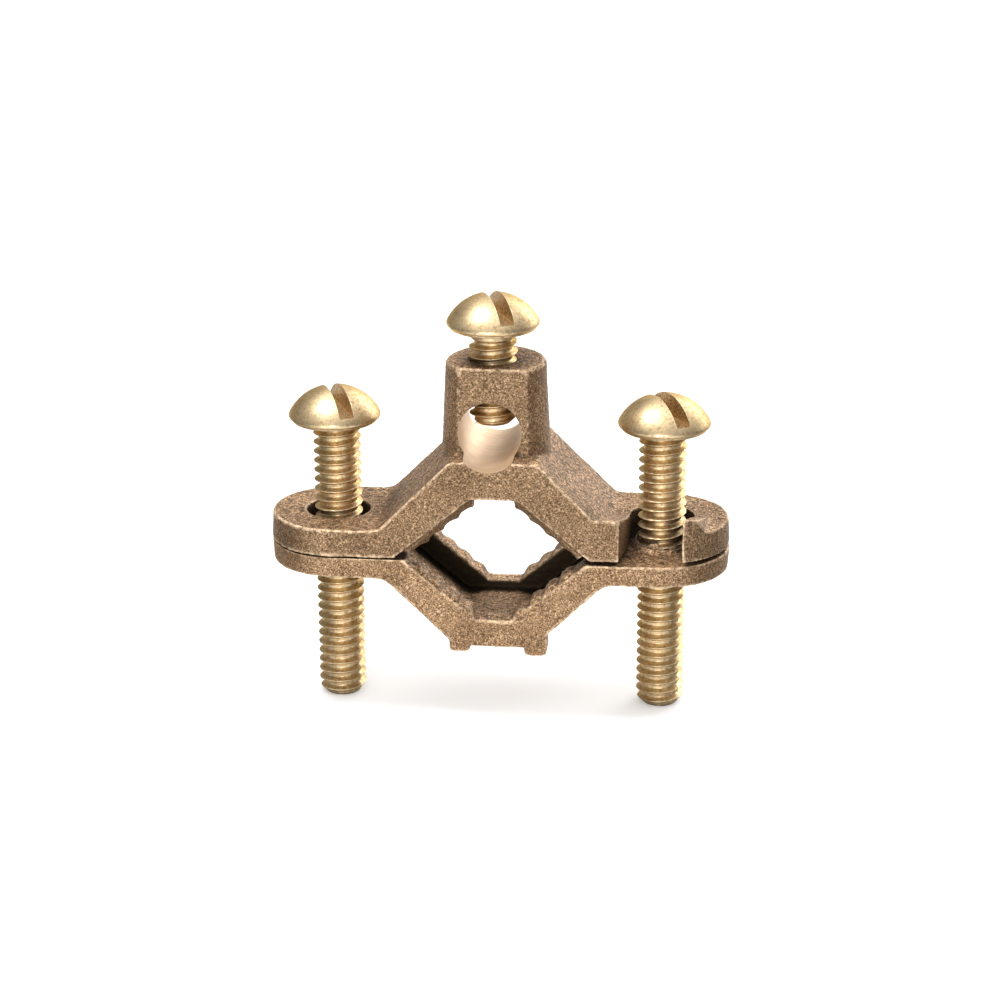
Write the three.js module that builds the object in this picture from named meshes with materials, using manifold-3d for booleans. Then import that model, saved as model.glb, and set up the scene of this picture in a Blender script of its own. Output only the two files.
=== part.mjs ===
// Cast bronze ground clamp for water pipe: two jaws, two clamp screws and one wire screw.
//
// Frame: millimetres, +Z up. The origin is the middle of the flat foot under the lower jaw. X runs from one
// clamp screw to the other and Y runs along the pipe, so -Y is the front, where the slot in the right ear
// of the upper jaw opens. Every piece is drawn with z = 0 on the split, the plane where the jaws meet, and
// the finished clamp is lifted onto its foot at the end. Outlines drawn in (x, z) are extruded along Y.

import * as THREE from 'three';
import { mergeVertices } from 'three/addons/utils/BufferGeometryUtils.js';
import Module from 'manifold-3d';

const wasm = await Module();
wasm.setup();

// ---------------------------------------------------------------- driving dimensions (mm)

const SCREW_SPACING = 42.3;            // between the two clamp screws
const AXIS_X = SCREW_SPACING / 2;
const EAR_RADIUS = 8.75;               // the ears are round about the screw axes
const DRAFT_DEGREES = 2.5;              // moulding taper of the walls, narrower away from the split
const SPLIT_GAP = 0.3;                 // between the closed jaws
const RIGHT_EAR_LIFT = 0.25;           // the cast right ear sits this much higher than the left one
const ARM_FILLET = 2.5;                // where an arm runs into its ear

// upper jaw
const UPPER_EAR_TOP = 3.55;
const HUMP_TOP = 13.05;
const HUMP_HALF_WIDTH = 5.6;
const HUMP_ROUND = 1.5;
const ARM_SLOPE_DEGREES = 45;
const UPPER_V = { mouth: 12.8, flat: 3.0, height: 8.15 };
const UPPER_CHANNEL = { slope: 1.6, flat: 1.6 };   // depth of the recess between the ribs
const UPPER_TOOTH = { stand: 0.95, height: 0.5, endTaper: 1.5, fromFlat: 0.7 };

// lower jaw
const LOWER_EAR_BOTTOM = -2.95;
const FOOT_HALF_WIDTH = 5.1;
const FOOT_Z = -12.0;
const LOWER_ARM_ROOT = 14.25;
const LOWER_V = { mouth: 11.2, flat: 2.0, height: 7.75 };
const LOWER_CHANNEL = { slope: 3.0, flat: 1.6 };
const LOWER_TOOTH = { height: 0.5, fromFlat: 0.15 };
const LOWER_ROUND = 1;
const STUB = { round: 0.6, length: 3.2, fromY: -8.0 };
const STUBS = [{ centre: -4.5, width: 2.7, drop: 0.95 }, { centre: 5.35, width: 3.0, drop: 1.2 }];

// both pipe seats
const RIB_WIDTH = 3.2;                 // toothed rib at each end of the seat
const SEAT_ROUND = 1;                  // corners of the V
const TOOTH_END_Y = 8.15;              // the teeth stop just short of the front and back walls
const TOOTH_COUNT = 4;
const TOOTH_PITCH = 2.6;
const TOOTH_ROOT = 1.5;                // each row is rooted this deep in its rib

// wire boss
const BOSS_X = -0.36;                  // cast a little towards the left ear
const WIRE_AXIS_X = -0.72;             // its holes and screw stand further over still
const BOSS_TOP = 24.5;
const BOSS_TOP_RADIUS = 6.45;
const BOSS_BASE_RADIUS = 7.0;
const BOSS_FLAT_AT_TOP = 4.7;          // from the boss's axis to the flat on its front
const BOSS_FLAT_AT_BASE = 5.25;
const BOSS_EDGE = 0.5;                 // rounding of the top edge
const WIRE_HOLE = { radius: 4.22, height: 15.95 };

// slotted right ear
const CLEARANCE_RADIUS = 4.15;         // closed hole in the left ear and round end of the slot
const HOOK_REACH = 3.62;               // from the slot's centre line to the hook that narrows its mouth
const LIP_TOP = 5.85;
const LIP_FRONT_Y = -8.2;              // the lip ramps down from here
const LIP_BACK_Y = 0.6;                // to the level of the ear here
const HOOK_LIP = { top: 6.25, endX: 25.6, round: 0.3, dipX: 27.1, dipRound: 1.2 };

// screws, 1/4-20 UNC with slotted round heads
const PITCH = 1.27;
const CREST_RADIUS = 3.11;
const ROOT_RADIUS = 2.45;
const TAPPED_RADIUS = 3.25;            // tapped holes are plain, just clear of the crests
const HEAD = { radius: 5.95, height: 4.45, rim: 0.85, baseRadius: 5.6, round: 0.3 };
const DRIVE_SLOT = { width: 1.9, depth: 2.9 };
const SLOT_TURN_DEGREES = { left: 26, right: 32, wire: 25 };   // anticlockwise from +Y
const CLAMP_SCREW = { length: 38.1, headBase: 15.9 };
const WIRE_SCREW = { length: 12.7, headBase: 28.8 };
const TIP_CHAMFER = 0.9;
const SPARE_TURNS = 3;
const COLLAR = { radius: 3.7, height: 0.4 };   // metal thrown up around the right tapped hole
const ON_SHANK = 0.2;                  // overlap that joins a head to its shank

// faceting
const ARC_STEPS = 20;
const HOLE_STEPS = 36;
const HEAD_STEPS = 32;
const THREAD_STEPS = 18;
const FILLET_STEPS = 4;
const REACH = 60;                      // longer than any cut needs to be

// ---------------------------------------------------------------- solids

function toSolid(geometry) {
  const bare = geometry.clone();
  bare.deleteAttribute('normal');
  bare.deleteAttribute('uv');
  const merged = mergeVertices(bare, 1e-5);
  const mesh = new wasm.Mesh({
    numProp: 3,
    vertProperties: new Float32Array(merged.attributes.position.array),
    triVerts: new Uint32Array(merged.index.array),
  });
  return new wasm.Manifold(mesh);
}

function toGeometry(solid) {
  const mesh = solid.getMesh();
  const geometry = new THREE.BufferGeometry();
  geometry.setAttribute('position', new THREE.BufferAttribute(mesh.vertProperties, 3));
  geometry.setIndex(new THREE.BufferAttribute(mesh.triVerts, 1));
  geometry.computeVertexNormals();
  return geometry;
}

function unite(solids) {
  return solids.reduce((all, next) => all.add(next));
}

/** Prism of an (x, z) outline between two y planes. */
function prismAlongY(shape, yLow, yHigh, options = {}) {
  const settings = { depth: yHigh - yLow, bevelEnabled: false, curveSegments: FILLET_STEPS, ...options };
  const geometry = new THREE.ExtrudeGeometry(shape, settings);
  geometry.rotateX(Math.PI / 2);
  geometry.translate(0, yHigh, 0);
  return toSolid(geometry);
}

/** Prism of a (y, z) outline between two x planes. */
function prismAlongX(shape, xLow, xHigh) {
  const geometry = new THREE.ExtrudeGeometry(shape, { depth: xHigh - xLow, bevelEnabled: false });
  geometry.rotateX(Math.PI / 2);
  geometry.rotateZ(Math.PI / 2);
  geometry.translate(xLow, 0, 0);
  return toSolid(geometry);
}

/** Prism of an (x, y) outline between two z planes. */
function prismAlongZ(shape, zLow, zHigh, steps = HOLE_STEPS) {
  const geometry = new THREE.ExtrudeGeometry(shape, {
    depth: zHigh - zLow,
    bevelEnabled: false,
    curveSegments: steps,
  });
  geometry.translate(0, 0, zLow);
  return toSolid(geometry);
}

function uprightCylinder(x, radius, zLow, zHigh) {
  const geometry = new THREE.CylinderGeometry(radius, radius, zHigh - zLow, HOLE_STEPS);
  geometry.rotateX(Math.PI / 2);
  geometry.translate(x, 0, (zLow + zHigh) / 2);
  return toSolid(geometry);
}

/** Closed outline through the corners [x, z, radius], each rounded by its own radius. */
function roundedOutline(corners) {
  const shape = new THREE.Shape();
  const count = corners.length;
  corners.forEach(([x, z, radius = 0], i) => {
    const corner = new THREE.Vector2(x, z);
    const before = new THREE.Vector2(...corners[(i + count - 1) % count]).sub(corner).normalize();
    const after = new THREE.Vector2(...corners[(i + 1) % count]).sub(corner).normalize();
    const turn = Math.PI - before.angleTo(after);
    const reach = radius * Math.tan(turn / 2);
    const start = corner.clone().addScaledVector(before, reach);
    const end = corner.clone().addScaledVector(after, reach);
    if (i === 0) shape.moveTo(start.x, start.y);
    else shape.lineTo(start.x, start.y);
    if (radius > 0) shape.quadraticCurveTo(x, z, end.x, end.y);
  });
  return shape;
}

// ---------------------------------------------------------------- shared jaw features

/** Both jaws seen from above: two round ears joined by straight sides, tapered away from the split. */
function draftedPlan() {
  const outline = new THREE.Shape();
  outline.moveTo(-AXIS_X, -EAR_RADIUS);
  outline.lineTo(AXIS_X, -EAR_RADIUS);
  outline.absarc(AXIS_X, 0, EAR_RADIUS, -Math.PI / 2, Math.PI / 2, false);
  outline.lineTo(-AXIS_X, EAR_RADIUS);
  outline.absarc(-AXIS_X, 0, EAR_RADIUS, Math.PI / 2, 3 * Math.PI / 2, false);
  const reach = 16;
  const taper = reach * Math.tan(THREE.MathUtils.degToRad(DRAFT_DEGREES));
  const geometry = new THREE.ExtrudeGeometry(outline, {
    depth: SPLIT_GAP,
    bevelThickness: reach,
    bevelSize: taper,
    bevelOffset: -taper,
    bevelSegments: 1,
    curveSegments: ARC_STEPS,
  });
  geometry.translate(0, 0, -SPLIT_GAP / 2);
  return toSolid(geometry);
}

/**
 * Corners of a V seat with its slopes and its flat moved outwards by the given depths. `side` is +1 for
 * the upper jaw and -1 for the lower.
 */
function seatCorners(seat, side, slopeDepth, flatDepth) {
  const slope = Math.atan2(seat.height, seat.mouth - seat.flat);
  const run = 1 / Math.tan(slope);
  const mouth = seat.mouth + slopeDepth / Math.sin(slope);
  const height = seat.height + flatDepth;
  const flat = mouth - height * run;
  const top = side * height;
  const below = -side;                  // the cutter starts a little past the split
  return [[-mouth - run, below], [-flat, top, SEAT_ROUND], [flat, top, SEAT_ROUND], [mouth + run, below]];
}

/** Recess between the two ribs of a seat. */
function channelCut(seat, side, channel) {
  const half = EAR_RADIUS - RIB_WIDTH;
  return prismAlongY(roundedOutline(seatCorners(seat, side, channel.slope, channel.flat)), -half, half);
}

/**
 * Row of teeth on one slope of a seat, counted from the flat, as an outline that starts inside the metal.
 * `stand` lifts the whole row off the slope. Positive `bulge` gives rounded teeth with sharp valleys,
 * negative `bulge` gives sharp teeth with rounded valleys. The first tooth ends upright beside the flat.
 */
function toothRow(seat, side, hand, { margin, stand, bulge }) {
  const flatEnd = new THREE.Vector2(hand * seat.flat, side * seat.height);
  const mouthEnd = new THREE.Vector2(hand * seat.mouth, 0);
  const along = mouthEnd.clone().sub(flatEnd).normalize();
  const inward = new THREE.Vector2(-hand * Math.abs(along.y), -side * Math.abs(along.x));
  const place = (distance, height) =>
    flatEnd.clone().addScaledVector(along, distance).addScaledVector(inward, height);
  const outline = new THREE.Shape();
  const start = place(margin, stand);
  outline.moveTo(start.x, start.y + side * (TOOTH_ROOT + Math.abs(stand)));
  outline.lineTo(start.x, start.y);
  for (let tooth = 0; tooth < TOOTH_COUNT; tooth += 1) {
    const middle = place(margin + (tooth + 0.5) * TOOTH_PITCH, stand + 2 * bulge);
    const end = place(margin + (tooth + 1) * TOOTH_PITCH, stand);
    outline.quadraticCurveTo(middle.x, middle.y, end.x, end.y);
  }
  const last = place(margin + TOOTH_COUNT * TOOTH_PITCH, -TOOTH_ROOT);
  outline.lineTo(last.x, last.y);
  return outline;
}

/** The same outline once for each end rib and each slope. */
function teethOnBothRibs(outlineForHand) {
  const inner = EAR_RADIUS - RIB_WIDTH;
  const teeth = [];
  for (const hand of [-1, 1]) {
    const outline = outlineForHand(hand);
    teeth.push(prismAlongY(outline, -TOOTH_END_Y, -inner));
    teeth.push(prismAlongY(outline, inner, TOOTH_END_Y));
  }
  return unite(teeth);
}

/** Cutter that slopes the outer ends of the upper teeth back to the edge of the seat. */
function toothEndFlare() {
  const taper = UPPER_TOOTH.endTaper;
  const half = TOOTH_END_Y - taper;
  return prismAlongY(roundedOutline(seatCorners(UPPER_V, 1, -taper, -taper)), -half, half, {
    bevelEnabled: true,
    bevelThickness: taper,
    bevelSize: -taper,
    bevelOffset: taper,
    bevelSegments: 1,
  });
}

// ---------------------------------------------------------------- lower jaw

function lowerJaw() {
  const top = -SPLIT_GAP / 2;
  const end = AXIS_X + 2 * EAR_RADIUS;
  const profile = roundedOutline([
    [-end, top],
    [end, top],
    [end, LOWER_EAR_BOTTOM],
    [LOWER_ARM_ROOT, LOWER_EAR_BOTTOM, ARM_FILLET],
    [FOOT_HALF_WIDTH, FOOT_Z, LOWER_ROUND],
    [-FOOT_HALF_WIDTH, FOOT_Z, LOWER_ROUND],
    [-LOWER_ARM_ROOT, LOWER_EAR_BOTTOM, ARM_FILLET],
    [-end, LOWER_EAR_BOTTOM],
  ]);
  const seat = roundedOutline(seatCorners(LOWER_V, -1, LOWER_TOOTH.height, LOWER_TOOTH.height));
  const slab = prismAlongY(profile, -REACH, REACH).intersect(draftedPlan());
  const body = slab
    .subtract(prismAlongY(seat, -REACH, REACH))
    .subtract(channelCut(LOWER_V, -1, LOWER_CHANNEL));
  const { fromFlat: margin, height } = LOWER_TOOTH;
  const teeth = teethOnBothRibs(
    (hand) => toothRow(LOWER_V, -1, hand, { margin, stand: -height, bulge: height }));
  return body
    .add(teeth)
    .add(castStubs())
    .add(uprightCylinder(AXIS_X, COLLAR.radius, LOWER_EAR_BOTTOM + 1, top + COLLAR.height))
    .subtract(uprightCylinder(-AXIS_X, TAPPED_RADIUS, -REACH, REACH))
    .subtract(uprightCylinder(AXIS_X, TAPPED_RADIUS, -REACH, REACH));
}

/** Two stubs left under the front edge of the foot by the mould. */
function castStubs() {
  return unite(STUBS.map(({ centre, width, drop }) => {
    const left = centre - width / 2;
    const right = centre + width / 2;
    const low = FOOT_Z - drop;
    const high = FOOT_Z + drop;
    const corners = [[left, low, STUB.round], [right, low, STUB.round], [right, high], [left, high]];
    return prismAlongY(roundedOutline(corners), STUB.fromY, STUB.fromY + STUB.length);
  }));
}

// ---------------------------------------------------------------- upper jaw

function upperJaw() {
  const armRun = (HUMP_TOP - UPPER_EAR_TOP) / Math.tan(THREE.MathUtils.degToRad(ARM_SLOPE_DEGREES));
  const armFoot = HUMP_HALF_WIDTH + armRun;
  const bottom = SPLIT_GAP / 2;
  const end = AXIS_X + 2 * EAR_RADIUS;
  const rightTop = UPPER_EAR_TOP + RIGHT_EAR_LIFT;
  const profile = roundedOutline([
    [-end, bottom],
    [UPPER_V.flat, bottom],
    [UPPER_V.mouth, bottom + RIGHT_EAR_LIFT],
    [end, bottom + RIGHT_EAR_LIFT],
    [end, rightTop],
    [armFoot - RIGHT_EAR_LIFT, rightTop, ARM_FILLET],
    [HUMP_HALF_WIDTH, HUMP_TOP, HUMP_ROUND],
    [-HUMP_HALF_WIDTH, HUMP_TOP, HUMP_ROUND],
    [-armFoot, UPPER_EAR_TOP, ARM_FILLET],
    [-end, UPPER_EAR_TOP],
  ]);
  const seat = roundedOutline(seatCorners(UPPER_V, 1, 0, 0));
  const blank = prismAlongY(profile, -REACH, REACH).add(earLips()).intersect(draftedPlan());
  const body = blank
    .subtract(prismAlongY(seat, -REACH, REACH))
    .subtract(channelCut(UPPER_V, 1, UPPER_CHANNEL));
  const { fromFlat: margin, height } = UPPER_TOOTH;
  const stand = UPPER_TOOTH.stand + height;
  const teeth = teethOnBothRibs((hand) => toothRow(UPPER_V, 1, hand, { margin, stand, bulge: -height }))
    .subtract(toothEndFlare());
  return body
    .add(teeth)
    .add(wireBoss())
    .subtract(wireHole())
    .subtract(uprightCylinder(WIRE_AXIS_X, TAPPED_RADIUS, WIRE_HOLE.height, REACH))
    .subtract(uprightCylinder(-AXIS_X, CLEARANCE_RADIUS, -REACH, REACH))
    .subtract(swingSlot());
}

/** Bar between two x planes that falls from `top` at the front to the level of the ear. */
function lipRamp(top, xLow, xHigh) {
  const floor = UPPER_EAR_TOP;
  const front = -EAR_RADIUS - 1;
  const ramp = new THREE.Shape();
  ramp.moveTo(LIP_BACK_Y, floor - 1);
  ramp.lineTo(front, floor - 1);
  ramp.lineTo(front, top);
  ramp.lineTo(LIP_FRONT_Y, top);
  ramp.lineTo(LIP_BACK_Y, floor);
  return prismAlongX(ramp, xLow, xHigh);
}

/** Raised lips at the mouth of the slot: a long one on the left and a narrow peak on the hook. */
function earLips() {
  const { top, round, endX, dipX, dipRound } = HOOK_LIP;
  const floor = UPPER_EAR_TOP;
  const ear = floor + RIGHT_EAR_LIFT;
  const peak = roundedOutline([
    [AXIS_X, floor - 1],
    [REACH, floor - 1],
    [REACH, ear],
    [dipX, ear, dipRound],
    [endX, top, round],
    [AXIS_X, top],
  ]);
  const hookLip = lipRamp(top, AXIS_X, REACH).intersect(prismAlongY(peak, -REACH, REACH));
  return lipRamp(LIP_TOP, HUMP_HALF_WIDTH, AXIS_X).add(hookLip);
}

/** Slot that follows an arc about the left screw, so the jaw swings off the right screw. */
function swingSlot() {
  const opening = Math.asin((EAR_RADIUS + 3) / SCREW_SPACING);
  const outer = SCREW_SPACING + HOOK_REACH;
  const inner = SCREW_SPACING - CLEARANCE_RADIUS;
  const slot = new THREE.Shape();
  slot.absarc(0, 0, outer, -opening, 0, false);
  slot.absarc(0, 0, inner, 0, -opening, true);
  return prismAlongZ(slot, -REACH, REACH, ARC_STEPS)
    .translate([-AXIS_X, 0, 0])
    .add(uprightCylinder(AXIS_X, CLEARANCE_RADIUS, -REACH, REACH));
}

/** Tapered round boss with a flat on the front. */
function wireBoss() {
  const base = (UPPER_V.height + UPPER_CHANNEL.flat + HUMP_TOP) / 2;
  const slope = (BOSS_BASE_RADIUS - BOSS_TOP_RADIUS) / (BOSS_TOP - HUMP_TOP);
  const wall = (z) => BOSS_TOP_RADIUS + slope * (BOSS_TOP - z);
  const round = new THREE.LatheGeometry([
    new THREE.Vector2(0, base),
    new THREE.Vector2(wall(base), base),
    new THREE.Vector2(wall(BOSS_TOP - BOSS_EDGE), BOSS_TOP - BOSS_EDGE),
    new THREE.Vector2(BOSS_TOP_RADIUS - 0.3 * BOSS_EDGE, BOSS_TOP - 0.3 * BOSS_EDGE),
    new THREE.Vector2(BOSS_TOP_RADIUS - BOSS_EDGE, BOSS_TOP),
    new THREE.Vector2(0, BOSS_TOP),
  ], HOLE_STEPS);
  round.rotateX(Math.PI / 2);
  round.translate(BOSS_X, 0, 0);
  const flat = new THREE.Shape();
  flat.moveTo(-BOSS_FLAT_AT_BASE, HUMP_TOP);
  flat.lineTo(-BOSS_FLAT_AT_BASE, 0);
  flat.lineTo(EAR_RADIUS, 0);
  flat.lineTo(EAR_RADIUS, BOSS_TOP + 1);
  flat.lineTo(-BOSS_FLAT_AT_TOP, BOSS_TOP + 1);
  return toSolid(round).intersect(prismAlongX(flat, -REACH, REACH));
}

/** Hole for the ground wire, right through the boss along Y. */
function wireHole() {
  const geometry = new THREE.CylinderGeometry(WIRE_HOLE.radius, WIRE_HOLE.radius, REACH, HOLE_STEPS);
  geometry.translate(WIRE_AXIS_X, 0, WIRE_HOLE.height);
  return toSolid(geometry);
}

// ---------------------------------------------------------------- screws

/**
 * Right-hand thread as one closed skin that winds up the Z axis from z = 0 to `length`. Rows alternate
 * between crest and root, and after one turn a row joins the row two further up. Spare turns beyond both
 * ends, each closed with a fan, are for the caller to trim.
 */
function threadBlank(length) {
  const rows = 2 * (Math.ceil(length / PITCH) + 2 * SPARE_TURNS);
  const low = -SPARE_TURNS * PITCH;
  const positions = [];
  for (let row = 0; row < rows; row += 1) {
    const radius = row % 2 === 0 ? CREST_RADIUS : ROOT_RADIUS;
    for (let step = 0; step < THREAD_STEPS; step += 1) {
      const turn = step / THREAD_STEPS;
      const angle = 2 * Math.PI * turn;
      positions.push(radius * Math.cos(angle), radius * Math.sin(angle), low + PITCH * (row / 2 + turn));
    }
  }
  const at = (row, step) => (step < THREAD_STEPS ? row * THREAD_STEPS + step : (row + 2) * THREAD_STEPS);
  const triangles = [];
  for (let row = 0; row < rows - 1; row += 1) {
    for (let step = 0; step < THREAD_STEPS; step += 1) {
      if (step === THREAD_STEPS - 1 && row > rows - 4) continue;
      const [a, b, c, d] = [at(row, step), at(row, step + 1), at(row + 1, step + 1), at(row + 1, step)];
      triangles.push(a, b, c, a, c, d);
    }
  }
  const around = [...Array(THREAD_STEPS).keys()];
  const bottomRing = [...around.map((step) => at(0, step)), at(2, 0), at(1, 0)];
  const lastStep = THREAD_STEPS - 1;
  const topRing = around.map((step) => at(rows - 1, step));
  topRing.push(at(rows - 2, lastStep), at(rows - 3, lastStep));
  const bottomCentre = positions.length / 3;
  positions.push(0, 0, low);
  const topCentre = bottomCentre + 1;
  positions.push(0, 0, low + PITCH * rows / 2);
  bottomRing.forEach((vertex, i) => {
    triangles.push(bottomCentre, bottomRing[(i + 1) % bottomRing.length], vertex);
  });
  topRing.forEach((vertex, i) => {
    triangles.push(topCentre, vertex, topRing[(i + 1) % topRing.length]);
  });
  const geometry = new THREE.BufferGeometry();
  geometry.setAttribute('position', new THREE.Float32BufferAttribute(positions, 3));
  geometry.setIndex(triangles);
  return toSolid(geometry);
}

/** Solid of revolution about Z from [radius, z] points that start and end on the axis. */
function turned(points, steps) {
  const profile = points.map(([radius, z]) => new THREE.Vector2(radius, z));
  const geometry = new THREE.LatheGeometry(profile, steps);
  geometry.rotateX(Math.PI / 2);
  return toSolid(geometry);
}

/** Slotted round head whose underside is at z = 0. */
function screwHead(slotTurn) {
  const capHeight = HEAD.height - HEAD.rim;
  const capRadius = (HEAD.radius ** 2 + capHeight ** 2) / (2 * capHeight);
  const capCentre = HEAD.height - capRadius;
  const capSteps = 6;
  const sweep = Math.asin((HEAD.radius - HEAD.round / 2) / capRadius);
  const points = [[0, -ON_SHANK], [ROOT_RADIUS, -ON_SHANK], [ROOT_RADIUS, 0], [HEAD.baseRadius, 0]];
  points.push([HEAD.radius, HEAD.rim - HEAD.round]);
  points.push([HEAD.radius, HEAD.rim]);
  for (let step = 0; step < capSteps; step += 1) {
    const angle = sweep * (1 - step / capSteps);
    points.push([capRadius * Math.sin(angle), capCentre + capRadius * Math.cos(angle)]);
  }
  points.push([0, HEAD.height]);
  const box = new THREE.BoxGeometry(DRIVE_SLOT.width, REACH, 2 * DRIVE_SLOT.depth);
  box.translate(0, 0, HEAD.height);
  box.rotateZ(THREE.MathUtils.degToRad(slotTurn));
  return turned(points, HEAD_STEPS).subtract(toSolid(box));
}

/** Machine screw hanging below its head, which sits on z = 0. */
function machineScrew(length, slotTurn) {
  const outside = CREST_RADIUS + 0.1;
  const shank = turned([
    [0, -length],
    [outside - TIP_CHAMFER, -length],
    [outside, TIP_CHAMFER - length],
    [outside, ON_SHANK],
    [0, ON_SHANK],
  ], THREAD_STEPS);
  const thread = threadBlank(length).translate([0, 0, -length]);
  return thread.intersect(shank).add(screwHead(slotTurn));
}

// ---------------------------------------------------------------- scene graph

function castBronze() {
  return new THREE.MeshStandardMaterial({ color: 0x8a6a4c, roughness: 0.72, metalness: 0.7 });
}

function yellowBrass() {
  return new THREE.MeshStandardMaterial({ color: 0xc8a45c, roughness: 0.36, metalness: 1 });
}

function namedMesh(name, solid, material) {
  const mesh = new THREE.Mesh(toGeometry(solid), material);
  mesh.name = name;
  return mesh;
}

const clamp = new THREE.Group();
clamp.position.z = -FOOT_Z;
clamp.add(namedMesh('lower_jaw', lowerJaw(), castBronze()));

const upperGroup = new THREE.Group();
upperGroup.add(namedMesh('upper_jaw', upperJaw(), castBronze()));
const wireScrewSolid = machineScrew(WIRE_SCREW.length, SLOT_TURN_DEGREES.wire);
const wireScrew = namedMesh('wire_screw', wireScrewSolid, yellowBrass());
wireScrew.position.set(WIRE_AXIS_X, 0, WIRE_SCREW.headBase);
upperGroup.add(wireScrew);
clamp.add(upperGroup);

for (const [hand, side] of [['left', -1], ['right', 1]]) {
  const solid = machineScrew(CLAMP_SCREW.length, SLOT_TURN_DEGREES[hand]);
  const screw = namedMesh(`${hand}_clamp_screw`, solid, yellowBrass());
  screw.position.set(side * AXIS_X, 0, CLAMP_SCREW.headBase);
  clamp.add(screw);
}

export default clamp;
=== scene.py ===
"""Looks of a cast bronze ground clamp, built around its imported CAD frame.

Everything is in metres, +Z up. The origin is the middle of the flat foot under the lower jaw, X runs from
one clamp screw to the other and Y runs along the pipe, away from the camera.
"""

import math

import bmesh
import bpy
import numpy as np
from mathutils import Matrix, Vector, noise
from mathutils.bvhtree import BVHTree


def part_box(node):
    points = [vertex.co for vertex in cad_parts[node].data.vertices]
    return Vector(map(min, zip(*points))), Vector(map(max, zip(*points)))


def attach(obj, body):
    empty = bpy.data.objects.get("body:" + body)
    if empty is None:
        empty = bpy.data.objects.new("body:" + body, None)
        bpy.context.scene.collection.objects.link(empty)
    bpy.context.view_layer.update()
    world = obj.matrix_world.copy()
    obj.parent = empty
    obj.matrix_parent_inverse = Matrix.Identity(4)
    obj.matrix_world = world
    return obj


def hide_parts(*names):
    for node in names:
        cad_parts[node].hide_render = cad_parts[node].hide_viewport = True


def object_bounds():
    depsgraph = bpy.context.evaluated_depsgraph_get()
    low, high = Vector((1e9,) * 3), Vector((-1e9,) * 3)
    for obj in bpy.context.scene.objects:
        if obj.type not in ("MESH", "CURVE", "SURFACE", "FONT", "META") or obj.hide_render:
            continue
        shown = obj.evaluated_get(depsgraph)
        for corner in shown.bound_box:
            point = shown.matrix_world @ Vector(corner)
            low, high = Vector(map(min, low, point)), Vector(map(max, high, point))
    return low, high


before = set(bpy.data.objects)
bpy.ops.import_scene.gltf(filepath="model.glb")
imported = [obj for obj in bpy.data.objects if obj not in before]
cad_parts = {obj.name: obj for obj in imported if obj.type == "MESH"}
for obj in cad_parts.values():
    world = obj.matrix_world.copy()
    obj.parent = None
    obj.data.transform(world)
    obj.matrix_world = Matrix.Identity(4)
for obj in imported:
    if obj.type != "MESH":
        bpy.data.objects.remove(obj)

cad_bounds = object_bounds()          # box of the CAD model alone, before anything is added

MM = 0.001
FAR = 100 * MM                    # well outside the clamp
UP = Vector((0, 0, 1))
ALONG = Vector((0, 1, 0))         # along the pipe, to the back
CLAMP_SCREWS = ("left_clamp_screw", "right_clamp_screw")

# Casting
VOXEL = 0.2 * MM
EDGE_SOFTENING = 3                # smoothing passes, which round the cast edges a little
EDGE_ROUNDS = 8                   # averaging rounds that tell edges from hollows
SHARP_ANGLE = math.radians(38)    # faces that meet at more than this keep a sharp edge

# Sand-cast skin: each unevenness has a size and the push it gives the surface
WAVE_SIZE = 3.5 * MM
WAVE_PUSH = 0.06 * MM
GRAIN_SIZE = 0.5 * MM
GRAIN_PUSH = 0.055 * MM
PIT_SIZE = 1.5 * MM
PIT_PUSH = 0.5 * MM
PIT_LEVEL = 0.56                  # only noise above this level makes a pit

# Where the closed jaws meet
HALF_CAD_GAP = 0.15 * MM          # half of the gap that the CAD model leaves between the jaws
LEFT_GAP = 0.03 * MM              # the jaws almost touch under the left ear
SEAM_REACH = 0.5 * MM             # height of skin that is drawn down to close that gap
SEAM_CURVE = 3.5                  # higher values draw the skin nearest the seam further down

# Pipe seats: a channel runs between the toothed ribs at their two ends
SEAT_MOUTH = 11.2 * MM            # half the width of a seat at the split
SEAT_HEIGHT = 7.75 * MM
SEAT_SLOPE = math.radians(40)
SEAT_FLAT = 2 * MM                # half the width of the flat between the slopes
RIB_WIDTH = 3.2 * MM
CHANNEL_DEPTH = 3.6 * MM
# Painted shade in the channel, where the ribs keep the light out
CHANNEL_SHADE_EDGE = 0.3 * MM             # painted shade covers this much of the channel's flat beside the wall
CHANNEL_SHADE_REACH = 1.2 * MM            # and this much more of its slopes
CHANNEL_SHADE_FADE = 1.5 * MM
CHANNEL_SHADE_ELSEWHERE = 0.2             # share of the painted shade in the rest of the channel

# Holes drilled in the castings
WIRE_HOLE_RADIUS = 4.22 * MM      # at the front
WIRE_HOLE_TAPER = 0.03            # radius lost for each length towards the back
WIRE_HOLE_DROP = 0.15 * MM        # its axis lies this far below the tip of the wire screw
TAPPED_RADIUS = 3.15 * MM
PLUG_MARGIN = 0.22 * MM
DRILL_REACH = 15 * MM
HOLE_SEGMENTS = 96

# Burr around the right tapped hole
BURR_HEIGHT = 1.3 * MM
BURR_ROOT = 0.3 * MM              # it starts this far below the surface
BURR_LEAN = 0.06 * MM
BURR_RIM_WEAR_AND_HIGHLIGHT = 0.16                  # its rim carries wear and a painted highlight as bright as on an edge that stands out by this many mm
BURR_SEGMENTS = 90

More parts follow.
